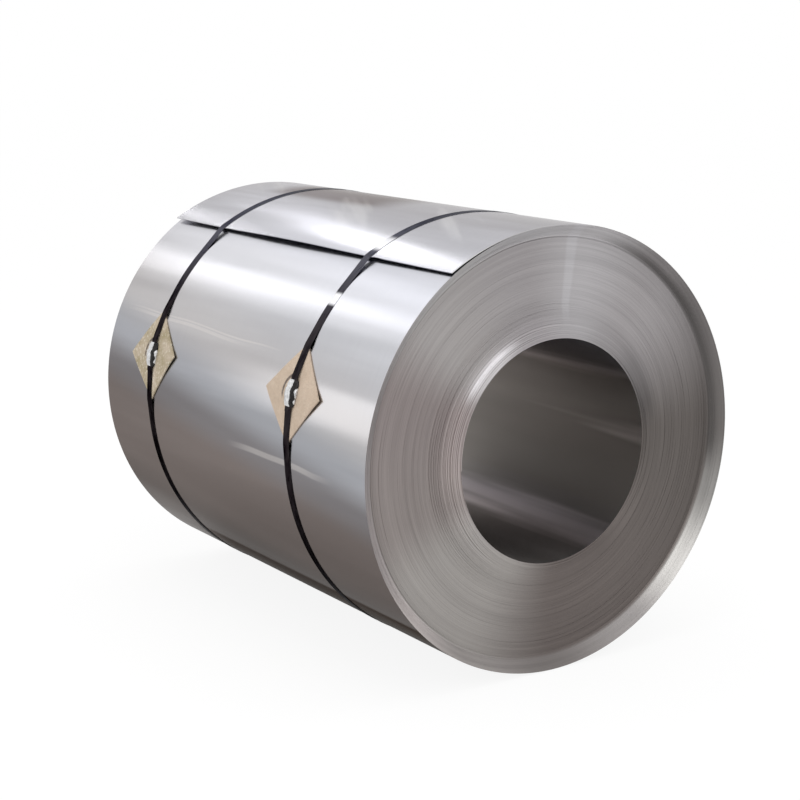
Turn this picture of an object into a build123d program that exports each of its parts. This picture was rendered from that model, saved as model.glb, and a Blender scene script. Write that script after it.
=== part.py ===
from build123d import *
import math
import os

# A coil of steel strip that lies on its side, held by two steel straps. Each strap is
# closed by a crimped seal, and a square pad turned on its corner lies under the seal.
# X runs along the eye towards the end whose outer turns stand out, Z is up, and the
# origin is the middle of the eye. An angle on the coil starts at the front, at -Y, and
# grows upwards, over the top and down the back.

# Strip and winding
strip_width = 1250.0
strip_thickness = 2.0
coil_radius = 505.0
eye_radius = 254.0

# Bands of turns on the ends, outwards from the eye. A depth is how far a band lies
# behind the innermost turns, the same at both ends, because the strip has one width.
inner_band = 22.0
second_band = 30.0
second_depth = 8.0
face_depth = 20.0
rim_band = 30.0
rim_rise = 30.0
rim_steps = 3

# Outer end of the strip, sprung up off the turn below
tail_angle = 55.5
tail_gap = 10.0
tail_span = 47.0
crevice_height = 0.8

# Inner end of the strip, in the wall of the eye
inner_end_angle = -2.0
inner_end_span = 80.0

# Straps, each set in from its edge of the strip
strap_width = 25.0
strap_thickness = 0.9
near_strap_inset = 307.0
far_strap_inset = 263.0

# Pads and seals
near_seal_angle = 15.5
far_seal_angle = 13.5
pad_side = 160.0
pad_thickness = 3.0
near_pad_turn = 1.0
far_pad_turn = 5.0
seal_length = 60.0
seal_width = 40.0
seal_wall = 1.2
seal_cap = 2.6
seal_corner = 12.0
seal_edge = 2.0
crimp_spacing = 24.0
crimp_radius = 5.0
crimp_depth = 1.4
strap_lead = 7.0
under_end = 2.0
over_end = 12.0

# Clearance between a piece and its seat
seat_gap = 0.3

# Length that a tool body runs past what it cuts
overrun = 25.0


def spot(angle, radius):
    """Point of a cross-section, at an angle and a distance from the axis."""
    turn = math.radians(angle)
    return (-radius * math.cos(turn), radius * math.sin(turn))


def turn_arc(radius, low, high):
    """Arc about the axis, between two angles."""
    return CenterArc((0, 0), radius, 180 - high, high - low)


def growth_for(radius, rise, span):
    """Extra radius of the arc that leaves a circle and has risen off it after a span."""
    far = radius + rise
    return (far**2 - radius**2) / (2 * (radius - far * math.cos(math.radians(span))))


def eased_radius(angle, start, radius, growth):
    """Distance from the axis to the arc that leaves a circle at the start angle."""
    turn = math.radians(start - angle)
    reach = math.sqrt((radius + growth) ** 2 - (growth * math.sin(turn)) ** 2)
    return reach - growth * math.cos(turn)


def eased_arc(start, end, radius, growth):
    """Arc that leaves a circle smoothly at the start angle and ends at the other."""
    stops = (start, (start + end) / 2, end)
    return ThreePointArc(*(spot(a, eased_radius(a, start, radius, growth)) for a in stops))


def touch(radius, circle):
    """Angle from a point at a radius to where its tangent meets a circle."""
    return math.degrees(math.acos(circle / radius))


tail_start = tail_angle + tail_span
tail_growth = growth_for(coil_radius, tail_gap + strip_thickness, tail_span)
tail_tip_radius = coil_radius + tail_gap + strip_thickness


def end_profile():
    """Half section of the stepped ends, a little wider than the wall of the coil."""
    rim_start = coil_radius - rim_band
    second_end = eye_radius + inner_band + second_band
    bands = [
        (eye_radius - overrun, 0.0),
        (eye_radius + inner_band, -second_depth),
        (second_end, -face_depth),
    ]
    for step in range(rim_steps):
        start = rim_start + rim_band * step / rim_steps
        bands.append((start, -face_depth + rim_rise * (step + 1) / rim_steps))
    outside = tail_tip_radius + overrun
    starts = [start for start, shift in bands]
    ends = starts[1:] + [outside]
    corners = []
    for (start, shift), end in zip(bands, ends):
        corners += [(start, shift), (end, shift)]
    near = [(strip_width / 2 + shift, radius) for radius, shift in corners]
    far = [(-strip_width / 2 + shift, radius) for radius, shift in reversed(corners)]
    return make_face(Polyline(*[(x, 0, r) for x, r in near + far], close=True))


def coil_section():
    """Cross-section of the winding, with the sprung tail and the strip's inner end."""
    below = tail_growth - strip_thickness
    seat = coil_radius + crevice_height
    reach = (coil_radius + below) ** 2 - tail_growth**2 - seat**2
    crevice_span = math.degrees(math.acos(reach / (2 * seat * tail_growth)))
    crevice_angle = tail_start - crevice_span

    def under_tail(angle):
        """Point on the underside of the tail."""
        turn = math.radians(tail_start - angle)
        span = math.sqrt((coil_radius + below) ** 2 - (tail_growth * math.sin(turn)) ** 2)
        return spot(angle, span - tail_growth * math.cos(turn))

    tip = spot(tail_angle, tail_tip_radius)
    stops = (crevice_angle, (crevice_angle + tail_angle) / 2, tail_angle)
    outer = [
        turn_arc(coil_radius, tail_start, 360 + crevice_angle),
        Line(spot(crevice_angle, coil_radius), under_tail(crevice_angle)),
        ThreePointArc(*(under_tail(angle) for angle in stops)),
        Line(under_tail(tail_angle), tip),
        eased_arc(tail_start, tail_angle, coil_radius, tail_growth),
    ]
    recess_start = inner_end_angle - inner_end_span
    recess_growth = growth_for(eye_radius, strip_thickness, inner_end_span)
    step_foot = spot(inner_end_angle, eye_radius + strip_thickness)
    inner = [
        turn_arc(eye_radius, inner_end_angle, 360 + recess_start),
        eased_arc(recess_start, inner_end_angle, eye_radius, recess_growth),
        Line(spot(inner_end_angle, eye_radius), step_foot),
    ]
    return make_face(outer) - make_face(inner)


def make_coil():
    """The winding: its section along the strip's width, cut to the stepped ends."""
    length = strip_width / 2 + face_depth + rim_rise + overrun
    winding = extrude(Plane.YZ * coil_section(), length, both=True)
    return winding & revolve(end_profile(), Axis.X, 360)


# Distances from the axis of what lies one on the other under a seal
pad_outer = coil_radius + seat_gap + pad_thickness
seal_floor = pad_outer + seat_gap
under_layer = seal_floor + seal_wall + seat_gap
over_layer = under_layer + strap_thickness + seat_gap
pocket_height = 2 * strap_thickness + 3 * seat_gap
seal_height = seal_wall + pocket_height + seal_cap
pad_reach = math.degrees(math.asin(pad_side / math.sqrt(2) / pad_outer))


def flat_spot(seal_angle, along, distance):
    """Angle and radius of a point on the flat stretch of strap inside the seal."""
    angle = seal_angle + math.degrees(math.atan2(along, distance))
    return angle, math.hypot(along, distance)


def strap_path(seal_angle, lift):
    """One face of the strap's run, from the end under the seal to the end over it."""
    on_coil = coil_radius + seat_gap + lift
    on_pad = pad_outer + seat_gap + lift
    half = seal_length / 2
    under_start = flat_spot(seal_angle, half + under_end, under_layer + lift)
    under_exit = flat_spot(seal_angle, -half - strap_lead, under_layer + lift)
    over_entry = flat_spot(seal_angle, half + strap_lead, over_layer + lift)
    over_stop = flat_spot(seal_angle, -half - over_end, over_layer + lift)
    low_tip = seal_angle - pad_reach
    high_tip = seal_angle + pad_reach
    low_rest = under_exit[0] - touch(under_exit[1], on_pad)
    high_rest = over_entry[0] + touch(over_entry[1], on_pad)
    low_foot = low_tip - touch(on_pad, on_coil)
    high_foot = high_tip + touch(on_pad, on_coil)
    tip_radius = eased_radius(tail_angle, tail_start, on_coil, tail_growth)
    bridge_foot = tail_angle - touch(tip_radius, on_coil)
    run = [
        Line(spot(*under_start), spot(*under_exit)),
        Line(spot(*under_exit), spot(low_rest, on_pad)),
        turn_arc(on_pad, low_tip, low_rest),
        Line(spot(low_tip, on_pad), spot(low_foot, on_coil)),
        turn_arc(on_coil, tail_start, 360 + low_foot),
        eased_arc(tail_start, tail_angle, on_coil, tail_growth),
        Line(spot(tail_angle, tip_radius), spot(bridge_foot, on_coil)),
        turn_arc(on_coil, high_foot, bridge_foot),
        Line(spot(high_foot, on_coil), spot(high_tip, on_pad)),
        turn_arc(on_pad, high_rest, high_tip),
        Line(spot(high_rest, on_pad), spot(*over_entry)),
        Line(spot(*over_entry), spot(*over_stop)),
    ]
    return run, spot(*under_start), spot(*over_stop)


def make_strap(x, seal_angle):
    """Flat steel strap round the coil, lapped over itself inside the seal."""
    inside, inside_start, inside_stop = strap_path(seal_angle, 0.0)
    outside, outside_start, outside_stop = strap_path(seal_angle, strap_thickness)
    ends = [Line(inside_start, outside_start), Line(inside_stop, outside_stop)]
    band = Plane.YZ.offset(x) * make_face(inside + outside + ends)
    return extrude(band, strap_width / 2, both=True)


def seat_plane(x, seal_angle, distance):
    """Plane on the front of the coil at the seal, X along the coil, Z outwards."""
    turn = math.radians(seal_angle)
    outwards = Vector(0, -math.cos(turn), math.sin(turn))
    return Plane(Vector(x, 0, 0) + outwards * distance, x_dir=(1, 0, 0), z_dir=outwards)


def make_pad(x, seal_angle, pad_turn):
    """Square pad on its corner, bent to the coil."""
    sheet = Circle(pad_outer) - Circle(coil_radius + seat_gap)
    tube = extrude(Plane.YZ.offset(x) * sheet, pad_side, both=True)
    square = Rectangle(pad_side, pad_side, rotation=45 + pad_turn)
    return tube & extrude(seat_plane(x, seal_angle, coil_radius / 2) * square, coil_radius)


def make_seal(x, seal_angle):
    """Crimped sleeve over both layers of strap, open at its two ends."""
    outline = RectangleRounded(seal_width, seal_length, seal_corner)
    sleeve = extrude(outline, seal_height)
    sleeve = chamfer(sleeve.faces().sort_by(Axis.Z)[-1].edges(), seal_edge)
    slot = Box(
        strap_width + 2 * seat_gap,
        seal_length + overrun,
        pocket_height,
        align=(Align.CENTER, Align.CENTER, Align.MIN),
    )
    sleeve -= Pos(0, 0, seal_wall) * slot
    for side in (-1, 1):
        groove_z = seal_height + crimp_radius - crimp_depth
        groove = Rot(0, 90, 0) * Cylinder(crimp_radius, seal_width + overrun)
        sleeve -= Pos(0, side * crimp_spacing / 2, groove_z) * groove
        for edge in (-1, 1):
            notch_x = edge * (seal_width / 2 + crimp_radius - 2 * crimp_depth)
            notch = Cylinder(crimp_radius, 4 * seal_height)
            sleeve -= Pos(notch_x, side * crimp_spacing / 2, 0) * notch
    return seat_plane(x, seal_angle, seal_floor) * sleeve


near_strap_x = strip_width / 2 - near_strap_inset
far_strap_x = far_strap_inset - strip_width / 2
os.makedirs("parts", exist_ok=True)
pieces = {"coil": make_coil()}
for name, x, seal_angle, pad_turn in (
    ("near", near_strap_x, near_seal_angle, near_pad_turn),
    ("far", far_strap_x, far_seal_angle, far_pad_turn),
):
    pieces["strap_" + name] = make_strap(x, seal_angle)
    pieces["pad_" + name] = make_pad(x, seal_angle, pad_turn)
    pieces["seal_" + name] = make_seal(x, seal_angle)
for name, piece in pieces.items():
    export_step(piece, "parts/" + name + ".step")
    print(name, round(piece.volume / 1000), "cm3")
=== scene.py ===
import math

import bmesh
import bpy
from mathutils import Matrix, Vector, noise


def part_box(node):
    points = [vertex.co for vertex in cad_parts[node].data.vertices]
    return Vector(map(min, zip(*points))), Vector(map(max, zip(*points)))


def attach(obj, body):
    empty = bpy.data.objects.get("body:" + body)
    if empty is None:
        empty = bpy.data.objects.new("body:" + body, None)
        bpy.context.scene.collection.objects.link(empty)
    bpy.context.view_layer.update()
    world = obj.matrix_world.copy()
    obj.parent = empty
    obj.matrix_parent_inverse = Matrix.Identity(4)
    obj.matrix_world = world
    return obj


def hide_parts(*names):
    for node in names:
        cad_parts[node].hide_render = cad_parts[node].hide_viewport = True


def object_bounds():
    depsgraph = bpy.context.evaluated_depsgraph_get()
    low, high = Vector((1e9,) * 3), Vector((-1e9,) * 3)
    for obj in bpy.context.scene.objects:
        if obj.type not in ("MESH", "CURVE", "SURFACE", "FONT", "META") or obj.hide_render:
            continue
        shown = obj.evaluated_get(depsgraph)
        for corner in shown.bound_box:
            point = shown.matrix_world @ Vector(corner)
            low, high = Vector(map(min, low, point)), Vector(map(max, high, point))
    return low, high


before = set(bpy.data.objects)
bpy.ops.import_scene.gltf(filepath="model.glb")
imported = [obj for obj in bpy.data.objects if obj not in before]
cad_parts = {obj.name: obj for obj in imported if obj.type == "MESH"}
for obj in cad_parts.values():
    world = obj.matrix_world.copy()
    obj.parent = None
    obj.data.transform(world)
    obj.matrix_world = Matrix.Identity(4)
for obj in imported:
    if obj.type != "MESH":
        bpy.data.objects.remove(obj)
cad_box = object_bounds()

# A coil of steel strip on its side. X runs along the eye and Z is up. An angle on the coil
# starts at the front, at -Y, and grows over the top. Lengths are in metres.

# Strip and winding
strip_width = 1.25
strip_thickness = 0.002
coil_radius = 0.505
eye_radius = 0.254

# How far the turns are pushed along the coil, by radius. The laps on the face are wider than
# the strip is thick. Each lap is pushed a step past its neighbours and wavers round the coil,
# and the last value is the grid that keeps the edges of two neighbours apart.
eye_slope_end = 0.338
rim_start = 0.473
face_depth = 0.020
rim_rise = 0.030
face_lap = 0.004
lap_step = 0.0015
lap_waver = 0.0011
lap_apart = 0.00002
waver_turns = 1.6

# Sprung outer end of the strip. The shares of its rise are those under a strap, between the
# straps, and at the near and far end, with the lengths over which they change.
tail_angle = 55.5
tail_rise = 0.012
tail_span = 47.0
tail_held = 0.78
tail_free = 1.08
tail_near = 0.60
tail_far = 0.95
hold_reach = 0.30
far_hold_reach = 0.26
tail_overlap = 2.0

# Inner end of the strip, and how wide its step and how deep its recess is
inner_end_angle = -2.0
inner_end_span = 80.0
inner_end_step = 0.05
recess_share = 0.98

# Straps, pads and seals
near_strap_x = (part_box("strap_near")[0].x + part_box("strap_near")[1].x) / 2
far_strap_x = (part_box("strap_far")[0].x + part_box("strap_far")[1].x) / 2
near_seal_angle = 15.5
far_seal_angle = 13.5
near_pad_turn = 1.0
far_pad_turn = 5.0
strap_width = 0.025
strap_thickness = 0.0008
pad_side = 0.160
pad_thickness = 0.003
pad_lift = 0.0030
pad_flat = 0.35
far_side_lift = 0.6
top_held = 0.75
# Reach of the painted shadow arc on a board, from the seal's seat
shadow_arc_reach = 0.042
seal_length = 0.060
seal_width = 0.040
seal_wall = 0.0012
seal_cap = 0.0026
seal_crimp = 0.0009
seal_sheet = 0.0010
seal_bulge = 0.0118
seal_right = 1.08
seal_left = 1.16
strap_lead = 0.007
under_end = 0.002
over_end = 0.012
seat_gap = 0.0003

# Crimps of a seal, as shares of half its length, how far the ends and the crimps are drawn
# in, how high and wide it is crumpled, and where its dark flank of painted shade starts, ends and waves
crimp_place = 0.42
crimp_spread = 0.12
end_draw = 0.55
crimp_draw = 0.14
crumple_height = 0.0008
crumple_side = 0.0006
flank_start = 0.36
flank_end = 0.96
flank_wave = 0.06
flank_waves = 15

# Mesh fineness
coil_steps = 192
strap_steps = 420
strap_columns = 4
tail_cells = (44, 40)
pad_cells = 40
seal_cells = (72, 64)

# How far the painted shade and reflected light on the sheet climb along the coil, the tint of its grazing
# gloss, and that tint darkened as painted shade on the underside and crest
sheen_tilt = 0.13
edge_tint = (0.60, 0.58, 0.57, 1)
painted_shade_tint = (0.29, 0.24, 0.21, 1)

# Dark line along the underside, painted shade: the heights and places along the coil where it fades in
under_height = (-0.337, -0.351)
under_start = (-0.45, -0.25)
underside_shade_tone = (0.12, 0.09, 0.08, 1)

# Darker patch on the crest, painted shade in the reflection: the heights where it fades in and its
# stretch along the coil
crest_height = (0.494, 0.502)
crest_stretch = (-0.50, -0.38, -0.04, 0.14)
crest_share = 0.6
crest_shade_tone = (0.50, 0.48, 0.48, 1)

# Smears over the crest
smear_height = (0.455, 0.485)
smear_turn = 28.0
smear_share = 0.65
smear_tone = (0.86, 0.87, 0.90, 1)

# Pale lines along the sheet, painted reflections: angle, half width, low and high end along the coil,
# fade
pale_lines = (
    (25.6, 0.22, -0.60, 0.26, 0.20),
    (24.6, 0.40, -0.60, 0.10, 0.20),
    (-1.8, 0.70, 0.02, 0.52, 0.16),
)
line_wander = 0.0035
line_share = 0.32
reflected_line_tone = (0.80, 0.76, 0.73, 1)

# Tones of the sheet from the bottom of the coil to the top: painted shade low down and painted reflected
# light above
sheet_tones = (
    (0.00, (0.085, 0.069, 0.062, 1)),
    (0.16, (0.098, 0.080, 0.072, 1)),
    (0.28, (0.196, 0.167, 0.156, 1)),
    (0.42, (0.216, 0.186, 0.176, 1)),
    (0.50, (0.232, 0.222, 0.230, 1)),
    (0.58, (0.400, 0.410, 0.440, 1)),
    (0.68, (0.545, 0.530, 0.535, 1)),
    (0.84, (0.600, 0.605, 0.640, 1)),
    (0.96, (0.720, 0.730, 0.790, 1)),
    (1.00, (0.620, 0.625, 0.670, 1)),
)

# Tones of the turns' edges round an end, from the back, by the bottom, front and top: painted sheen in
# sectors and painted shade at the back and bottom
edge_tones = (
    (0.00, (0.145, 0.130, 0.122, 1)),
    (0.24, (0.160, 0.138, 0.130, 1)),
    (0.34, (0.345, 0.325, 0.310, 1)),
    (0.40, (0.350, 0.330, 0.315, 1)),
    (0.46, (0.275, 0.245, 0.235, 1)),
    (0.56, (0.275, 0.240, 0.235, 1)),
    (0.62, (0.370, 0.350, 0.345, 1)),
    (0.72, (0.340, 0.320, 0.325, 1)),
    (0.78, (0.440, 0.425, 0.435, 1)),
    (0.86, (0.360, 0.340, 0.345, 1)),
    (1.00, (0.145, 0.130, 0.122, 1)),
)

# The same for the rim, its painted sheen and shade
rim_tones = (
    (0.00, (0.170, 0.158, 0.152, 1)),
    (0.05, (0.290, 0.280, 0.270, 1)),
    (0.11, (0.580, 0.565, 0.545, 1)),
    (0.17, (0.330, 0.310, 0.305, 1)),
    (0.25, (0.205, 0.188, 0.182, 1)),
    (0.33, (0.360, 0.335, 0.325, 1)),
    (0.39, (0.660, 0.610, 0.600, 1)),
    (0.45, (0.560, 0.520, 0.520, 1)),
    (0.54, (0.420, 0.400, 0.400, 1)),
    (0.66, (0.620, 0.610, 0.610, 1)),
    (0.72, (0.540, 0.530, 0.540, 1)),
    (0.78, (0.520, 0.505, 0.515, 1)),
    (0.85, (0.230, 0.215, 0.215, 1)),
    (0.90, (0.170, 0.158, 0.156, 1)),
    (1.00, (0.170, 0.158, 0.152, 1)),
)

# The same for the wall of the eye: painted shade and highlights round it
eye_tones = (
    (0.00, (0.330, 0.308, 0.286, 1)),
    (0.05, (0.300, 0.278, 0.258, 1)),
    (0.10, (0.310, 0.288, 0.268, 1)),
    (0.15, (0.430, 0.405, 0.392, 1)),
    (0.21, (0.430, 0.400, 0.392, 1)),
    (0.30, (0.360, 0.335, 0.325, 1)),
    (0.60, (0.300, 0.282, 0.276, 1)),
    (0.80, (0.185, 0.174, 0.190, 1)),
    (0.86, (0.355, 0.336, 0.362, 1)),
    (0.92, (0.400, 0.376, 0.352, 1)),
    (0.97, (0.420, 0.392, 0.366, 1)),
    (1.00, (0.330, 0.308, 0.286, 1)),
)

# Half of how much the turns next to the eye are lighter, round an end: a painted highlight
lip_highlight_gain = (
    (0.00, (0.475, 0.475, 0.475, 1)),
    (0.11, (0.580, 0.580, 0.580, 1)),
    (0.17, (0.450, 0.450, 0.450, 1)),
    (0.33, (0.540, 0.540, 0.540, 1)),
    (0.39, (0.570, 0.570, 0.575, 1)),
    (0.44, (0.670, 0.670, 0.675, 1)),
    (0.50, (0.810, 0.810, 0.815, 1)),
    (0.56, (0.760, 0.765, 0.770, 1)),
    (0.61, (0.635, 0.640, 0.645, 1)),
    (0.72, (0.600, 0.600, 0.605, 1)),
    (0.78, (0.490, 0.490, 0.490, 1)),
    (0.84, (0.430, 0.430, 0.430, 1)),
    (0.90, (0.320, 0.320, 0.320, 1)),
    (0.95, (0.310, 0.310, 0.310, 1)),
    (1.00, (0.475, 0.475, 0.475, 1)),
)

# Painted shade at the foot of the rim: its radii, and its turns at the back and at the bottom
foot_radii = (rim_start - 0.001, rim_start + 0.004, rim_start + 0.009, rim_start + 0.021)
foot_back = (0.78, 0.86)
foot_below = (0.04, 0.01)
foot_share = 0.70
foot_shade_tone = (0.075, 0.070, 0.068, 1)

# Painted bright glint on the turns by the eye, and a painted pale beam of sheen over the crest of the end
glance_turns = (0.575, 0.61, 0.65, 0.70)
glance_radii = (0.253, 0.258, 0.272, 0.300)
glance_tone = (0.86, 0.84, 0.86, 1)
beam_angle = 96.5
beam_spread = 1.6
beam_start = (0.27, 0.33)
beam_share = 0.20
beam_tone = (0.66, 0.66, 0.69, 1)

# Straps: turns over the top where a painted reflection makes them lighter, and angles of painted
# highlights on the near one
over_top_turns = (0.57, 0.70, 0.84, 0.96)
over_top_reflection_tone = (0.150, 0.152, 0.178, 1)
painted_highlight_places = ((41.5, 1.6), (61.0, 2.6))
painted_highlight_tone = (0.80, 0.80, 0.82, 1)

# Light
world_light = 0.85
floor_white = 0.86
floor_in_gloss = 0.35
floor_glow = 1.04
floor_radius = 30.0
floor_gap = 0.0002

# Lamps that show in the sheet: name, two ends as place along the coil, angle and reach,
# then width, strength and outline
glint_lamps = (
    ("key", (-0.62, 40.5, 3.0), (0.62, 40.5, 4.6), 0.42, 1.5, "RECTANGLE"),
    ("key_fade", (-0.62, 48.5, 3.0), (0.62, 48.5, 4.6), 0.60, 0.55, "RECTANGLE"),
    ("key_foot", (-0.62, 36.0, 3.0), (0.62, 36.0, 4.6), 0.30, 0.40, "RECTANGLE"),
    ("window", (0.28, 59.4, 3.2), (0.46, 63.4, 3.5), 0.38, 3.8, "ELLIPSE"),
    ("far_window", (-0.63, 59.5, 3.0), (-0.58, 61.5, 3.0), 0.12, 7.0, "ELLIPSE"),
    ("strap_glint", (-0.38, 60.0, 3.0), (-0.33, 60.5, 3.0), 0.07, 6.0, "ELLIPSE"),
    ("side_glow", (0.24, 14.6, 3.2), (0.80, 14.6, 3.9), 0.80, 0.9, "RECTANGLE"),
)

# Lamps that stand free: name, two ends, width and strength
free_lamps = (
    ("rim_light", (3.1, -1.7, 1.0), (2.8, -0.2, 2.3), 0.50, 2.4),
    ("overhead", (0.3, -2.0, 3.6), (0.3, 1.6, 3.6), 3.2, 0.9),
)

# Camera, from the photograph
view_turn = 56.26
view_height = 11.96
view_distance = 4.425
view_lens = 79.8
sensor_width = 36.0
aim_side = -0.001
aim_rise = 0.0086
aim_x = 0.010


def on_coil(x, angle, radius):
    """Point at a place along the coil, an angle and a distance from the axis."""
    turn = math.radians(angle)
    return Vector((x, -radius * math.cos(turn), radius * math.sin(turn)))


def angle_of(point):
    """Angle of a point on the coil, from -90 at the bottom up, over and down to 270."""
    angle = math.degrees(math.atan2(point.z, -point.y))
    return angle if angle >= -90 else angle + 360


def radius_of(point):
    return math.hypot(point.y, point.z)


def ease(value):
    """Smooth step between 0 and 1."""
    value = min(max(value, 0.0), 1.0)
    return value * value * (3 - 2 * value)


def turns_shift(radius):
    """How far the turns at a radius are pushed towards the near end."""
    if radius < rim_start:
        return -face_depth * ease((radius - eye_radius) / (eye_slope_end - eye_radius))
    return -face_depth + rim_rise * (radius - rim_start) / (coil_radius - rim_start)


def lap_offset(lap, radius):
    """Push of one lap past its neighbours: strongest near the eye, always into the face."""
    if not lap:
        return 0.0
    strength = 1.0 - 0.75 * ease((radius - eye_radius) / (eye_slope_end - eye_radius))
    return -lap_step * strength * abs(noise.noise(Vector((lap * 3.77, 0.5, 0.5)))) * 2


def coil_laps():
    """Radius and push of the inner and outer edge of every lap. The rim's laps make one slope."""
    bands = (
        (eye_radius, eye_slope_end, strip_thickness),
        (eye_slope_end, rim_start, face_lap),
        (rim_start, coil_radius, strip_thickness),
    )
    laps = []
    for low, high, lap in bands:
        count = round((high - low) / lap)
        slope = low == rim_start
        for step in range(count):
            inside = low + (high - low) * step / count
            outside = low + (high - low) * (step + 1) / count
            shift = turns_shift((inside + outside) / 2) + lap_offset(len(laps), inside)
            shift = max(shift, -face_depth)
            laps.append((
                (inside, turns_shift(inside) if slope else shift),
                (outside, turns_shift(outside) if slope else shift),
            ))
    return laps


def lap_waver_at(lap, angle, radius):
    """Small push of one lap, which comes and goes round the coil and leaves its length alone."""
    turn = math.radians(angle)
    place = Vector((lap * 7.31, waver_turns * math.cos(turn), waver_turns * math.sin(turn)))
    inwards = -1.0 if radius > rim_start + 0.005 else 1.0
    return lap_waver * (noise.noise(place) + inwards) / 2


def keep_apart(x, lap):
    """Place along the coil on a fine grid of its own, so that neighbouring laps never meet."""
    return (math.floor(x / lap_apart) - 0.5 * (lap % 2)) * lap_apart


def new_piece(name, bm, materials, sharp_angle=32.0):
    """Object for a finished mesh, smooth apart from its sharp edges."""
    mesh = bpy.data.meshes.new(name)
    bm.to_mesh(mesh)
    bm.free()
    for material in materials:
        mesh.materials.append(material)
    mesh.shade_smooth()
    mesh.set_sharp_from_angle(angle=math.radians(sharp_angle))
    piece = bpy.data.objects.new(name, mesh)
    bpy.context.scene.collection.objects.link(piece)
    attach(piece, "root")
    return piece


def grown_section(bm):
    """Closed outline of the wall of the coil, stepped out turn by turn on both ends."""
    lap_layer = bm.verts.layers.int.new("lap")
    half = strip_width / 2
    near = []
    far = []
    for lap, corners in enumerate(coil_laps()):
        for radius, shift in corners:
            near.append((shift + half, radius, lap))
            far.append((shift - half, radius, lap))
    first = last = None
    for x, r, lap in near + far[::-1]:
        if last is None:
            vert = bm.verts.new((x, -r, 0))
            first = vert
        else:
            vert = bmesh.ops.extrude_vert_indiv(bm, verts=[last])["verts"][0]
            vert.co = (x, -r, 0)
        vert[lap_layer] = lap
        last = vert
    bm.edges.new((last, first))
    return lap_layer


def inner_recess(angle):
    """Depth of the eye's wall behind the innermost turn, below the strip's inner end."""
    start = inner_end_angle - inner_end_span
    if not start < angle < inner_end_angle:
        return 0.0
    return strip_thickness * (angle - start) / inner_end_span


def winding_mesh():
    """The turns: the stepped section spun round the eye, each lap a little off its place."""
    bm = bmesh.new()
    lap_layer = grown_section(bm)
    bmesh.ops.spin(
        bm,
        geom=bm.verts[:] + bm.edges[:],
        cent=(0, 0, 0),
        axis=(1, 0, 0),
        angle=2 * math.pi,
        steps=coil_steps,
        use_merge=True,
    )
    for cut in (inner_end_angle, inner_end_angle - inner_end_step):
        bmesh.ops.bisect_plane(
            bm,
            geom=bm.verts[:] + bm.edges[:] + bm.faces[:],
            dist=1e-6,
            plane_co=(0, 0, 0),
            plane_no=on_coil(0, cut + 90, 1),
        )
    for vert in bm.verts:
        angle = angle_of(vert.co)
        radius = radius_of(vert.co)
        if radius < eye_radius + 0.0005:
            recess = inner_recess(angle if angle < 180 else angle - 360)
            vert.co = on_coil(vert.co.x, angle, radius + recess * recess_share)
        lap = vert[lap_layer]
        vert.co.x = keep_apart(vert.co.x + lap_waver_at(lap, angle, radius), lap)
    bmesh.ops.recalc_face_normals(bm, faces=bm.faces[:])
    return bm


def tail_hold(x):
    """How far the sheet springs up at a place along the coil: least under a strap."""
    if x > near_strap_x:
        return tail_held + (tail_near - tail_held) * ease((x - near_strap_x) / hold_reach)
    if x < far_strap_x:
        return tail_held + (tail_far - tail_held) * ease((far_strap_x - x) / far_hold_reach)
    nearest = min(near_strap_x - x, x - far_strap_x)
    return tail_held + (tail_free - tail_held) * ease(nearest / hold_reach)


def tail_radius(x, angle):
    """Distance from the axis to the outside of the sprung sheet."""
    travelled = (tail_angle + tail_span - angle) / tail_span
    travelled = min(max(travelled, 0.0), 1.0)
    return coil_radius + tail_rise * travelled**2 * tail_hold(x)


def thicken(bm, faces, thickness, facing):
    """Sheet made of a curved grid, which stays on the outside for 1 and by the axis for -1."""
    bm.normal_update()
    middle = faces[0].calc_center_median()
    if faces[0].normal.dot(Vector((0, middle.y, middle.z))) * facing < 0:
        bmesh.ops.reverse_faces(bm, faces=faces)
    bmesh.ops.solidify(bm, geom=faces, thickness=thickness)


def add_tail(bm):
    """The sprung sheet, bent over the turns from a flat grid and given its thickness."""
    rim_x = strip_width / 2 - face_depth + rim_rise
    root_angle = tail_angle + tail_span - tail_overlap
    across, around = tail_cells
    made = bmesh.ops.create_grid(bm, x_segments=across, y_segments=around, size=0.5)
    verts = made["verts"]
    faces = list({face for vert in verts for face in vert.link_faces})
    for vert in verts:
        x = rim_x - strip_width * (0.5 - vert.co.x)
        angle = tail_angle + (root_angle - tail_angle) * (vert.co.y + 0.5)
        vert.co = on_coil(x, angle, tail_radius(x, angle))
    bmesh.ops.recalc_face_normals(bm, faces=faces)
    thicken(bm, faces, strip_thickness, 1)


def set_grain(bm):
    """UV map with U across the rolling direction: along the coil, or outwards on its ends."""
    grain = bm.loops.layers.uv.new("grain")
    for face in bm.faces:
        centre = angle_of(face.calc_center_median())
        on_end = abs(face.normal.x) > 0.5
        for loop in face.loops:
            angle = angle_of(loop.vert.co)
            if angle - centre > 180:
                angle -= 360
            if centre - angle > 180:
                angle += 360
            across = radius_of(loop.vert.co) if on_end else loop.vert.co.x
            loop[grain].uv = (across, math.radians(angle) * coil_radius)


def make_coil(sheet, edges, eye_wall):
    bm = winding_mesh()
    add_tail(bm)
    bm.normal_update()
    for face in bm.faces:
        middle = radius_of(face.calc_center_median())
        on_end = abs(face.normal.x) > 0.5
        if middle < eye_radius + 0.0012 and not on_end:
            face.material_index = 2
        elif on_end or middle < coil_radius - 0.0005:
            face.material_index = 1
    set_grain(bm)
    coil = new_piece("wound_coil", bm, [sheet, edges, eye_wall])
    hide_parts("coil")


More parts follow.
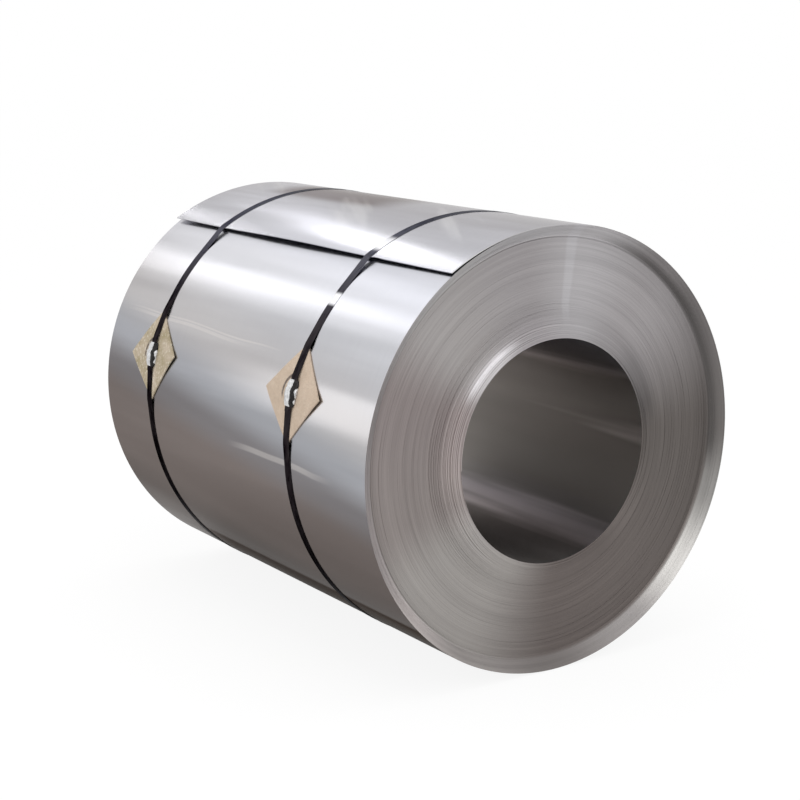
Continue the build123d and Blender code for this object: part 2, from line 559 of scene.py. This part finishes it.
# Distances from the axis of what lies one on the other under a seal
pad_outer = coil_radius + seat_gap + pad_thickness
seal_floor = pad_outer + seat_gap
under_layer = seal_floor + seal_wall + seat_gap
over_layer = under_layer + strap_thickness + seat_gap
seal_height = seal_wall + 2 * strap_thickness + 3 * seat_gap + seal_cap
pad_reach = math.degrees(math.asin(pad_side / math.sqrt(2) / pad_outer))


def touch(radius, circle):
    """Angle from a point at a radius to where its tangent meets a circle."""
    return math.degrees(math.acos(min(circle / radius, 1.0)))


def bridge(away, corner, corner_radius, circle):
    """Radius of a taut strap that leaves a corner and comes down to a circle."""
    span = touch(corner_radius, circle)
    if away >= corner + span:
        return circle
    return circle / math.cos(math.radians(corner + span - away))


def strap_radius(x, seal_angle, angle, level):
    """Distance from the axis to the inside of the strap, at an angle beside or in the seal."""
    away = abs((angle - seal_angle + 180) % 360 - 180)
    rest = coil_radius + seat_gap
    on_pad = pad_outer + seat_gap
    straight = seal_length / 2 + strap_lead
    lead = math.degrees(math.atan2(straight, level))
    if away <= lead:
        return level / math.cos(math.radians(away))
    if away <= pad_reach:
        return bridge(away, lead, math.hypot(straight, level), on_pad)
    radius = bridge(away, pad_reach, on_pad, rest)
    over = angle % 360
    tip = tail_radius(x, tail_angle) + seat_gap
    if tail_angle <= over <= tail_angle + tail_span:
        radius = tail_radius(x, over) + seat_gap
    elif tail_angle - 40 < over < tail_angle:
        radius = max(radius, bridge(tail_angle - over, 0.0, tip, rest))
    return radius


def make_strap(name, x, seal_angle, material):
    """Flat steel strap, bent round the coil from a long grid and lapped under its seal."""
    bm = bmesh.new()
    bmesh.ops.create_grid(bm, x_segments=strap_columns, y_segments=strap_steps, size=0.5)
    start = seal_angle + math.degrees(math.atan2(seal_length / 2 + under_end, under_layer))
    stop = seal_angle - 360 - math.degrees(math.atan2(seal_length / 2 + over_end, over_layer))
    for vert in bm.verts:
        side = vert.co.x * strap_width
        angle = start + (stop - start) * (vert.co.y + 0.5)
        level = under_layer if angle > seal_angle - 180 else over_layer
        vert.co = on_coil(x + side, angle, strap_radius(x, seal_angle, angle, level))
    thicken(bm, bm.faces[:], strap_thickness, -1)
    strap = new_piece("lacquered_" + name, bm, [material])
    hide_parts(name)


def seat_frame(x, seal_angle, distance):
    """Matrix of the seat under a seal: X along the coil, Y up the coil, Z outwards."""
    turn = math.radians(seal_angle)
    outwards = Vector((0, -math.cos(turn), math.sin(turn)))
    along = Vector((1, 0, 0))
    up = outwards.cross(along)
    place = Matrix((along, up, outwards)).transposed().to_4x4()
    place.translation = Vector((x, 0, 0)) + outwards * distance
    return place


def make_pad(name, x, seal_angle, pad_turn, material):
    """Board on its corner, bent to the coil, its two side corners standing up a little."""
    bm = bmesh.new()
    bmesh.ops.create_grid(bm, x_segments=pad_cells, y_segments=pad_cells, size=pad_side / 2)
    turned = Matrix.Rotation(math.radians(45 + pad_turn), 4, "Z")
    bmesh.ops.transform(bm, matrix=turned, verts=bm.verts[:])
    reach = pad_side / math.sqrt(2)
    for vert in bm.verts:
        side, up = vert.co.x, vert.co.y
        free = ease((abs(side) / reach - pad_flat) / (1 - pad_flat))
        held = 1 - top_held * ease(up / reach * 4)
        angle = seal_angle + math.degrees(up / pad_outer)
        lift = pad_lift * free * (1.0 if side > 0 else far_side_lift) * held
        vert.co = on_coil(x + side, angle, coil_radius + seat_gap + lift)
    thicken(bm, bm.faces[:], pad_thickness, -1)
    pad = new_piece("board_" + name, bm, [material], 50.0)
    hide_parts(name)


def crimp_at(up):
    """Depth of the crimps, from 0 to 1, at a share of the seal's half length."""
    return max(math.exp(-(((up - place) / crimp_spread) ** 2)) for place in (-crimp_place, crimp_place))


def make_seal(name, x, seal_angle, zinc, shade):
    """Domed seal over both layers of strap, crimped twice, from one flat grid."""
    bm = bmesh.new()
    across, upwards = seal_cells
    bmesh.ops.create_grid(bm, x_segments=across, y_segments=upwards, size=1.0)
    for vert in bm.verts:
        side, up = vert.co.x, vert.co.y
        crimp = crimp_at(up)
        oval = (1 - end_draw * abs(up) ** 2.4) * (1 - crimp_draw * crimp)
        half = seal_width / 2 * (1 + oval) / 2 * (seal_right if side > 0 else seal_left)
        crown = (1 - side**4) ** 0.5 if abs(side) < 1 else 0.0
        top = seal_height + (seal_bulge - seal_height) * (1 - up**2) - seal_crimp * crimp
        crumple = noise.noise(Vector((side * 2.2, up * 6.0, x * 50)))
        height = (top + crumple_height * crumple) * crown
        vert.co = (side * half + crumple_side * crumple, up * seal_length / 2, max(height, 0.0))
    # The right flank takes the dark copy of the zinc: painted shade
    for face in bm.faces:
        middle = face.calc_center_median()
        wave = flank_wave * math.sin(middle.y / seal_length * flank_waves)
        if flank_start < middle.x / (seal_width / 2) + wave < flank_end:
            face.material_index = 1
    bm.normal_update()
    bmesh.ops.solidify(bm, geom=bm.faces[:], thickness=seal_sheet)
    bmesh.ops.transform(bm, matrix=seat_frame(x, seal_angle, seal_floor), verts=bm.verts[:])
    seal = new_piece("crimped_" + name, bm, [zinc, shade], 60.0)
    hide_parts(name)


def put(tree, kind, values=None, **settings):
    """New node, with values or links for its inputs and settings of its own."""
    made = tree.nodes.new(kind)
    for name, value in settings.items():
        setattr(made, name, value)
    for name, value in (values or {}).items():
        if isinstance(value, bpy.types.NodeSocket):
            tree.links.new(value, made.inputs[name])
        else:
            made.inputs[name].default_value = value
    return made


def tone(red, green, blue):
    return (red, green, blue, 1.0)


def grey(value):
    return tone(value, value, value)


def new_group(name, inputs, outputs):
    """Empty node group with float, colour or vector sockets."""
    tree = bpy.data.node_groups.new(name, "ShaderNodeTree")
    kinds = {"value": "NodeSocketFloat", "color": "NodeSocketColor", "vector": "NodeSocketVector"}
    for socket, kind in inputs:
        tree.interface.new_socket(socket, in_out="INPUT", socket_type=kinds[kind])
    for socket, kind in outputs:
        tree.interface.new_socket(socket, in_out="OUTPUT", socket_type=kinds[kind])
    return tree, tree.nodes.new("NodeGroupInput").outputs, tree.nodes.new("NodeGroupOutput").inputs


def grain_group():
    """Noise stretched along the piece: high along one axis, low along the others."""
    tree, given, result = new_group(
        "stretched_grain",
        [("Place", "vector"), ("Stretch", "vector"), ("Detail", "value"), ("Soft", "value")],
        [("Mask", "value")],
    )
    sides = {0: given["Place"], 1: given["Stretch"]}
    scaled = put(tree, "ShaderNodeVectorMath", sides, operation="MULTIPLY").outputs[0]
    kind = {"Vector": scaled, "Scale": 1.0, "Detail": given["Detail"], "Roughness": given["Soft"]}
    pattern = put(tree, "ShaderNodeTexNoise", kind).outputs[0]
    spread = put(tree, "ShaderNodeMapRange", {"Value": pattern, "From Min": 0.3, "From Max": 0.7})
    tree.links.new(spread.outputs[0], result["Mask"])
    return tree


def ring_group():
    """Place on an end as distance from the axis, y and z, and its turn, from the back, by the bottom."""
    tree, given, result = new_group(
        "ring_place",
        [("Place", "vector")],
        [("Place", "vector"), ("Radius", "value"), ("Turn", "value")],
    )
    parts = put(tree, "ShaderNodeSeparateXYZ", {0: given["Place"]}).outputs
    flat = put(tree, "ShaderNodeCombineXYZ", {"Y": parts["Y"], "Z": parts["Z"]}).outputs[0]
    length = put(tree, "ShaderNodeVectorMath", {0: flat}, operation="LENGTH").outputs["Value"]
    rings = put(tree, "ShaderNodeCombineXYZ", {"X": length, "Y": parts["Y"], "Z": parts["Z"]})
    front = combine(tree, "MULTIPLY", parts["Y"], -1.0)
    turn = combine(tree, "ARCTAN2", parts["Z"], front)
    whole = {"Value": turn, "From Min": -math.pi, "From Max": math.pi}
    share = put(tree, "ShaderNodeMapRange", whole)
    tree.links.new(share.outputs[0], result["Turn"])
    tree.links.new(rings.outputs[0], result["Place"])
    tree.links.new(length, result["Radius"])
    return tree


def grain(tree, place, stretch, detail=2.0, soft=0.5):
    """Mask of one stretched noise."""
    made = put(tree, "ShaderNodeGroup", node_tree=grain_tree)
    tree.links.new(place, made.inputs["Place"])
    made.inputs["Stretch"].default_value = stretch
    made.inputs["Detail"].default_value = detail
    made.inputs["Soft"].default_value = soft
    return made.outputs["Mask"]


def colour_mix(tree, share, low, high, kind="MIX"):
    """Mix of two colours, either of them a socket or a colour."""
    made = put(tree, "ShaderNodeMix", data_type="RGBA", blend_type=kind)
    for index, value in ((0, share), (6, low), (7, high)):
        if isinstance(value, bpy.types.NodeSocket):
            tree.links.new(value, made.inputs[index])
        else:
            made.inputs[index].default_value = value
    return made.outputs[2]


def ramp(tree, value, low, high, to_low=0.0, to_high=1.0, smooth=True):
    """Value mapped from one range to another."""
    ranges = {"From Min": low, "From Max": high, "To Min": to_low, "To Max": to_high}
    made = put(tree, "ShaderNodeMapRange", {"Value": value, **ranges})
    if smooth:
        made.interpolation_type = "SMOOTHSTEP"
    return made.outputs[0]


def tones(tree, value, stops):
    """Colour that follows a value from 0 to 1 through named tones."""
    made = put(tree, "ShaderNodeValToRGB", {"Fac": value})
    made.color_ramp.interpolation = "EASE"
    for index, (place, colour) in enumerate(stops):
        stop = made.color_ramp.elements[index] if index < 2 else made.color_ramp.elements.new(place)
        stop.position = place
        stop.color = colour
    return made.outputs[0]


def combine(tree, kind, first, second):
    """Result of one sum on two values or sockets."""
    return put(tree, "ShaderNodeMath", {0: first, 1: second}, operation=kind).outputs[0]


def times(tree, first, second):
    return combine(tree, "MULTIPLY", first, second)


def shaded(tree, colour, light):
    """Colour multiplied by another."""
    return colour_mix(tree, 1.0, colour, light, "MULTIPLY")


def ring_place(tree, place):
    """Place, radius and turn of a place on an end of the coil."""
    return put(tree, "ShaderNodeGroup", {"Place": place}, node_tree=ring_tree).outputs


def band(tree, value, stops):
    """Mask of a stretch of a value: where it starts, is full, is last full and ends."""
    start, full, last_full, end = stops
    return times(tree, ramp(tree, value, start, full), ramp(tree, value, end, last_full))


def about(tree, turn, angle, spread):
    """Mask of what lies within a few degrees of an angle."""
    away = combine(tree, "ABSOLUTE", combine(tree, "SUBTRACT", turn, (angle + 180) / 360), 0.0)
    return ramp(tree, away, spread * 1.5 / 360, spread * 0.7 / 360)


def new_material(name):
    material = bpy.data.materials.new(name)
    material.use_nodes = True
    tree = material.node_tree
    shader = tree.nodes["Principled BSDF"]
    place = tree.nodes.new("ShaderNodeTexCoord").outputs["Object"]
    return material, tree, shader, place


def follow_grain(tree, shader, strength):
    """Gloss stretched across the rolling direction."""
    tangent = tree.nodes.new("ShaderNodeTangent")
    tangent.direction_type = "UV_MAP"
    tangent.uv_map = "grain"
    tree.links.new(tangent.outputs[0], shader.inputs["Tangent"])
    shader.inputs["Anisotropic"].default_value = strength


def bump(tree, shader, height, strength, distance):
    made = put(tree, "ShaderNodeBump", {"Height": height, "Strength": strength, "Distance": distance})
    tree.links.new(made.outputs[0], shader.inputs["Normal"])


def sheet_material():
    """Cold-rolled face of the strip, with painted shade and reflection: dark and warm low down, bright
    and cool above.
    """
    material, tree, shader, place = new_material("rolled_face")
    parts = put(tree, "ShaderNodeSeparateXYZ", {0: place}).outputs
    along, height = parts["X"], parts["Z"]
    level = combine(tree, "ADD", height, times(tree, along, sheen_tilt))
    level = ramp(tree, level, -coil_radius, coil_radius, smooth=False)
    body = tones(tree, level, sheet_tones)
    # Painted shade along the underside, also darkening the grazing gloss
    under = times(tree, ramp(tree, height, *under_height), ramp(tree, along, *under_start))
    body = colour_mix(tree, under, body, shaded(tree, body, underside_shade_tone))
    # Painted shade on the crest
    crest = times(tree, ramp(tree, height, *crest_height), band(tree, along, crest_stretch))
    crest = times(tree, crest, crest_share)
    body = colour_mix(tree, crest, body, shaded(tree, body, crest_shade_tone))
    edge = colour_mix(tree, combine(tree, "MAXIMUM", under, crest), edge_tint, painted_shade_tint)
    bands = grain(tree, place, (0.7, 9.0, 9.0), 3.0, 0.55)
    light = colour_mix(tree, ramp(tree, bands, 0.1, 0.9), grey(0.92), grey(1.06))
    body = shaded(tree, body, light)
    wander = times(tree, grain(tree, place, (3.0, 0.5, 0.5), 1.0, 0.4), line_wander)
    turn = combine(tree, "ADD", ring_place(tree, place)["Turn"], wander)
    # Painted reflections of edges, as pale lines along the sheet
    for angle, spread, low, high, fade in pale_lines:
        stretch = band(tree, along, (low, low + fade, high - fade, high))
        line = times(tree, about(tree, turn, angle, spread), stretch)
        body = colour_mix(tree, times(tree, line, line_share), body, reflected_line_tone)
    slant = {"Vector": place, "Rotation": (0.0, 0.0, math.radians(smear_turn))}
    turned = put(tree, "ShaderNodeMapping", slant).outputs[0]
    smears = ramp(tree, grain(tree, turned, (2.0, 16.0, 3.0), 2.0, 0.5), 0.55, 1.0)
    smears = times(tree, times(tree, ramp(tree, height, *smear_height), smears), smear_share)
    body = colour_mix(tree, smears, body, smear_tone)
    lines = grain(tree, place, (420.0, 2.0, 2.0), 3.0, 0.6)
    body = shaded(tree, body, colour_mix(tree, lines, grey(0.98), grey(1.01)))
    tree.links.new(body, shader.inputs["Base Color"])
    shader.inputs["Metallic"].default_value = 1.0
    tree.links.new(ramp(tree, bands, 0.0, 1.0, 0.17, 0.25), shader.inputs["Roughness"])
    tree.links.new(edge, shader.inputs["Specular Tint"])
    follow_grain(tree, shader, 0.5)
    waves = grain(tree, place, (1.6, 4.0, 4.0), 1.0, 0.4)
    bump(tree, shader, combine(tree, "ADD", waves, times(tree, lines, 0.006)), 0.30, 0.003)
    return material


def edges_material():
    """Edges of the turns, seen on the ends of the coil, with painted sheen in sectors and painted shade.
    """
    material, tree, shader, place = new_material("turn_edges")
    rings = ring_place(tree, place)
    radius, turn = rings["Radius"], rings["Turn"]
    fine = grain(tree, rings["Place"], (900.0, 2.5, 2.5), 2.0, 0.6)
    broad = grain(tree, rings["Place"], (95.0, 1.6, 1.6), 3.0, 0.55)
    rim = ramp(tree, radius, rim_start + 0.001, rim_start + 0.009)
    # Painted sheen and shade round the end, on the face and on the rim
    body = colour_mix(tree, rim, tones(tree, turn, edge_tones), tones(tree, turn, rim_tones))
    # Painted shade at the foot of the rim
    shade = combine(tree, "MAXIMUM", ramp(tree, turn, *foot_back), ramp(tree, turn, *foot_below))
    shade = times(tree, band(tree, radius, foot_radii), shade)
    body = colour_mix(tree, times(tree, shade, foot_share), body, foot_shade_tone)
    # Painted highlight on the turns next to the eye
    near_eye = ramp(tree, radius, eye_slope_end - 0.01, eye_radius + 0.03)
    lip = shaded(tree, tones(tree, turn, lip_highlight_gain), grey(2.0))
    body = colour_mix(tree, near_eye, body, shaded(tree, body, lip))
    # Painted highlights: a glint by the eye and a beam over the crest of the end
    glance = times(tree, band(tree, turn, glance_turns), band(tree, radius, glance_radii))
    glance = times(tree, glance, ramp(tree, broad, 0.25, 0.75, 0.35, 0.95))
    body = colour_mix(tree, glance, body, glance_tone)
    beam = times(tree, about(tree, turn, beam_angle, beam_spread), ramp(tree, radius, *beam_start))
    body = colour_mix(tree, times(tree, beam, beam_share), body, beam_tone)
    body = shaded(tree, body, colour_mix(tree, broad, grey(0.90), grey(1.08)))
    body = shaded(tree, body, colour_mix(tree, fine, grey(0.92), grey(1.17)))
    tree.links.new(body, shader.inputs["Base Color"])
    shader.inputs["Metallic"].default_value = 1.0
    tree.links.new(ramp(tree, fine, 0.0, 1.0, 0.34, 0.46), shader.inputs["Roughness"])
    follow_grain(tree, shader, 0.6)
    bump(tree, shader, fine, 0.25, 0.0006)
    return material


def eye_material():
    """Wall of the eye: the strip's inner face, duller, darkened by painted shade and lightened by painted
    highlights round the eye, with long streaks.
    """
    material, tree, shader, place = new_material("eye_wall")
    streaks = grain(tree, place, (0.5, 11.0, 11.0), 3.0, 0.5)
    light = colour_mix(tree, ramp(tree, streaks, 0.58, 1.0), grey(0.90), tone(2.0, 2.0, 2.08))
    # Painted shade and highlights round the wall of the eye
    body = shaded(tree, tones(tree, ring_place(tree, place)["Turn"], eye_tones), light)
    tree.links.new(body, shader.inputs["Base Color"])
    shader.inputs["Metallic"].default_value = 1.0
    tree.links.new(ramp(tree, streaks, 0.0, 1.0, 0.42, 0.30), shader.inputs["Roughness"])
    follow_grain(tree, shader, 0.3)
    return material


def strap_material():
    """Blackened steel of the straps, lighter over the top by a painted reflection, with painted
    highlights on the near one where the highlight crosses it.
    """
    material, tree, shader, place = new_material("strap_black")
    turn = ring_place(tree, place)["Turn"]
    scuffs = grain(tree, place, (60.0, 22.0, 22.0), 4.0, 0.65)
    body = colour_mix(tree, scuffs, tone(0.022, 0.019, 0.021), tone(0.060, 0.053, 0.055))
    # Painted reflection over the top, and painted highlights on the near strap
    body = colour_mix(tree, band(tree, turn, over_top_turns), body, over_top_reflection_tone)
    painted_highlight = combine(tree, "MAXIMUM", *(about(tree, turn, *spot) for spot in painted_highlight_places))
    along = put(tree, "ShaderNodeSeparateXYZ", {0: place}).outputs["X"]
    painted_highlight = times(tree, painted_highlight, ramp(tree, along, 0.0, 0.2))
    body = colour_mix(tree, painted_highlight, body, painted_highlight_tone)
    tree.links.new(body, shader.inputs["Base Color"])
    shader.inputs["Metallic"].default_value = 1.0
    shader.inputs["Specular Tint"].default_value = (0.25, 0.25, 0.26, 1)
    tree.links.new(ramp(tree, scuffs, 0.0, 1.0, 0.24, 0.40), shader.inputs["Roughness"])
    bump(tree, shader, scuffs, 0.15, 0.0003)
    return material


def board_material(name, seat, fresh, aged, chipping):
    """Soft board with flecks and pale chips, and a painted shadow arc beside and above the seal."""
    material, tree, shader, place = new_material(name)
    mottle = grain(tree, place, (22.0, 22.0, 22.0), 4.0, 0.6)
    flecks = grain(tree, place, (420.0, 420.0, 420.0), 2.0, 0.6)
    body = colour_mix(tree, mottle, fresh, aged)
    fleck_light = colour_mix(tree, flecks, tone(0.84, 0.83, 0.81), grey(1.08))
    body = shaded(tree, body, fleck_light)
    parts = put(tree, "ShaderNodeSeparateXYZ", {0: place}).outputs
    # Painted shadow of the seal's edge: a dark arc on the board beside and above the seal
    reach = put(tree, "ShaderNodeVectorMath", {0: place, 1: seat}, operation="DISTANCE")
    off = combine(tree, "SUBTRACT", reach.outputs["Value"], shadow_arc_reach)
    shadow_arc = ramp(tree, combine(tree, "ABSOLUTE", off, 0.0), 0.0050, 0.0020)
    shadow_arc = times(tree, shadow_arc, ramp(tree, parts["X"], seat.x + 0.002, seat.x - 0.008))
    shadow_arc = times(tree, shadow_arc, ramp(tree, parts["Z"], seat.z - 0.020, seat.z - 0.002))
    body = colour_mix(tree, times(tree, shadow_arc, 0.85), body, tone(0.075, 0.055, 0.050))
    chips = grain(tree, place, (150.0, 150.0, 150.0), 1.0, 0.5)
    chips = ramp(tree, chips, 0.62, 0.95, 0.0, chipping)
    body = colour_mix(tree, chips, body, tone(0.80, 0.74, 0.62))
    tree.links.new(body, shader.inputs["Base Color"])
    shader.inputs["Roughness"].default_value = 0.82
    bump(tree, shader, flecks, 0.35, 0.0004)
    return material


def seal_material(name, dull, bright):
    """Zinc of a seal, scratched by the crimper."""
    material, tree, shader, place = new_material(name)
    scratches = grain(tree, place, (260.0, 90.0, 90.0), 4.0, 0.7)
    body = colour_mix(tree, scratches, dull, bright)
    tree.links.new(body, shader.inputs["Base Color"])
    shader.inputs["Metallic"].default_value = 1.0
    tree.links.new(ramp(tree, scratches, 0.0, 1.0, 0.22, 0.42), shader.inputs["Roughness"])
    bump(tree, shader, scratches, 0.3, 0.0004)
    return material


grain_tree = grain_group()
ring_tree = ring_group()
make_coil(sheet_material(), edges_material(), eye_material())
lacquer = strap_material()
zinc = seal_material("seal_zinc", tone(0.42, 0.42, 0.43), tone(0.84, 0.84, 0.84))
# Dark copy of the zinc for the seal's flank: painted shade
zinc_shade = seal_material("seal_flank_painted_shade", tone(0.012, 0.012, 0.012), tone(0.055, 0.052, 0.052))
boards = {
    "near": board_material(
        "board_tan",
        on_coil(near_strap_x, near_seal_angle, pad_outer),
        tone(0.56, 0.44, 0.335),
        tone(0.68, 0.545, 0.43),
        0.15,
    ),
    "far": board_material(
        "board_straw",
        on_coil(far_strap_x, far_seal_angle, pad_outer),
        tone(0.36, 0.30, 0.170),
        tone(0.62, 0.52, 0.41),
        0.50,
    ),
}
for name, x, seal_angle, pad_turn in (
    ("near", near_strap_x, near_seal_angle, near_pad_turn),
    ("far", far_strap_x, far_seal_angle, far_pad_turn),
):
    make_strap("strap_" + name, x, seal_angle, lacquer)
    make_pad("pad_" + name, x, seal_angle, pad_turn, boards[name])
    make_seal("seal_" + name, x, seal_angle, zinc, zinc_shade)


def shown_ray(tree):
    """1 where the camera looks straight at a thing, or sees it in metal or through glass."""
    path = tree.nodes.new("ShaderNodeLightPath").outputs
    shown = combine(tree, "MAXIMUM", path["Is Camera Ray"], path["Is Glossy Ray"])
    return combine(tree, "MAXIMUM", shown, path["Is Transmission Ray"])


def make_floor():
    """Pale floor under the coil, which goes over into the white surroundings."""
    bm = bmesh.new()
    bmesh.ops.create_circle(bm, cap_ends=True, segments=96, radius=floor_radius)
    mesh = bpy.data.meshes.new("floor")
    bm.to_mesh(mesh)
    bm.free()
    floor = bpy.data.objects.new("floor", mesh)
    floor.location.z = cad_box[0][2] - floor_gap
    bpy.context.scene.collection.objects.link(floor)
    material = bpy.data.materials.new("floor_pale")
    material.use_nodes = True
    tree = material.node_tree
    tree.nodes.clear()
    matt = put(tree, "ShaderNodeBsdfDiffuse", {"Color": grey(0.88)})
    white = put(tree, "ShaderNodeEmission", {"Color": grey(1.0), "Strength": floor_glow})
    path = tree.nodes.new("ShaderNodeLightPath").outputs
    seen = combine(tree, "MAXIMUM", path["Is Camera Ray"], path["Is Transmission Ray"])
    in_gloss = times(tree, path["Is Glossy Ray"], floor_in_gloss)
    share = combine(tree, "MAXIMUM", times(tree, seen, floor_white), in_gloss)
    both = put(tree, "ShaderNodeMixShader", {0: share, 1: matt.outputs[0], 2: white.outputs[0]})
    out = tree.nodes.new("ShaderNodeOutputMaterial")
    tree.links.new(both.outputs[0], out.inputs["Surface"])
    mesh.materials.append(material)


def make_world():
    """White surroundings for the camera and for gloss, dimmer as light."""
    world = bpy.data.worlds.new("studio")
    bpy.context.scene.world = world
    world.use_nodes = True
    tree = world.node_tree
    tree.nodes.clear()
    soft = put(tree, "ShaderNodeBackground", {"Color": grey(1.0), "Strength": world_light})
    white = put(tree, "ShaderNodeBackground", {"Color": grey(1.0), "Strength": 1.0})
    both = put(tree, "ShaderNodeMixShader", {0: shown_ray(tree), 1: soft.outputs[0], 2: white.outputs[0]})
    out = tree.nodes.new("ShaderNodeOutputWorld")
    tree.links.new(both.outputs[0], out.inputs[0])


def glint_place(x, angle, reach):
    """Where a lamp has to be to shine in the coil at a place, as the camera sees it."""
    surface = on_coil(x, angle, coil_radius)
    normal = on_coil(0, angle, 1)
    look = (camera_place() - surface).normalized()
    return surface + (2 * normal.dot(look) * normal - look) * reach


def make_panel(name, low, high, width, glow, shape):
    """Long soft lamp between two points, turned to the middle of the coil."""
    length = (high - low).length
    along = (high - low) / length
    middle = (low + high) / 2
    back = middle - along * middle.dot(along)
    back.normalize()
    side = along.cross(back)
    data = bpy.data.lights.new(name, "AREA")
    data.shape = shape
    data.size = width
    data.size_y = length
    data.energy = glow * math.pi * width * length
    lamp = bpy.data.objects.new(name, data)
    bpy.context.scene.collection.objects.link(lamp)
    turned = Matrix((side, along, back)).transposed().to_4x4()
    turned.translation = middle
    lamp.matrix_world = turned
    lamp.visible_camera = False


def camera_axes():
    """Direction back to the camera, and its right and up."""
    turn = math.radians(view_turn)
    height = math.radians(view_height)
    flat = math.cos(height)
    back = Vector((math.sin(turn) * flat, -math.cos(turn) * flat, math.sin(height)))
    right = (-back).cross(Vector((0, 0, 1))).normalized()
    return back, right, right.cross(-back)


def camera_place():
    back, right, up = camera_axes()
    return Vector((aim_x, 0, 0)) + back * view_distance + right * aim_side + up * aim_rise


def make_camera():
    """Camera at the photograph's angle."""
    data = bpy.data.cameras.new("camera")
    data.lens = view_lens
    data.sensor_width = sensor_width
    camera = bpy.data.objects.new("camera", data)
    bpy.context.scene.collection.objects.link(camera)
    camera.location = camera_place()
    camera.rotation_euler = (-camera_axes()[0]).to_track_quat("-Z", "Y").to_euler()
    bpy.context.scene.camera = camera


make_floor()
make_world()
for name, low, high, width, glow, shape in glint_lamps:
    make_panel(name, glint_place(*low), glint_place(*high), width, glow, shape)
for name, low, high, width, glow in free_lamps:
    make_panel(name, Vector(low), Vector(high), width, glow, "RECTANGLE")
make_camera()
bpy.context.scene.view_settings.view_transform = "Standard"

bpy.context.view_layer.update()
